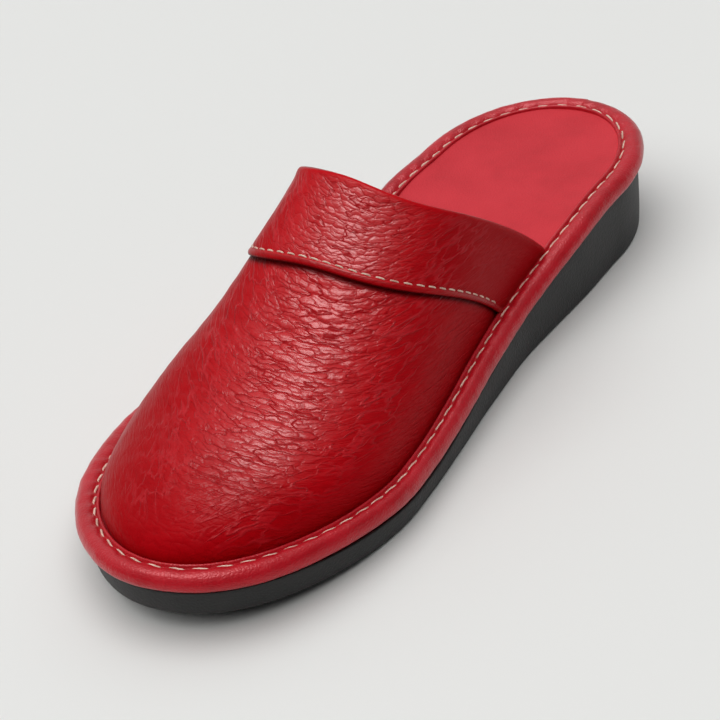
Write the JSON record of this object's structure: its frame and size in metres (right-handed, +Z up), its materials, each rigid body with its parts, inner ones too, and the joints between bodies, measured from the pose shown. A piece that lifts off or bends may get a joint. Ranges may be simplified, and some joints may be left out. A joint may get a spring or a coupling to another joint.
{
  "type": "babouche slipper",
  "caption": "Round-toed leather mule slipper with a plain vamp, stitched collar band, rolled stitched platform edge and a low wedge sole.",
  "frame": {"origin": "middle of the slipper's bounding box, on the floor under the sole", "axes": "+Z up, +Y towards the heel, -Y towards the toe, +X towards the inner (big-toe) side"},
  "size_m": [0.0976, 0.262, 0.0709],
  "materials": {
    "sole_rubber": "matt black foamed rubber with a fine pebble grain on the side wall",
    "platform_leather": "smooth satin red leather, wrapped round the platform's edge",
    "insole_leather": "matt coral-red sock leather",
    "upper_leather": "soft tumbled red leather with a deep pebble grain and a satin shine",
    "cuff_leather": "the same tumbled red leather, stretched smoother, with a pale stitch line"
  },
  "bodies": {
    "root": {"outsole": "sole_rubber", "platform": "platform_leather", "insole": "insole_leather", "upper": "upper_leather", "cuff": "cuff_leather"}
  },
  "joints": []
}
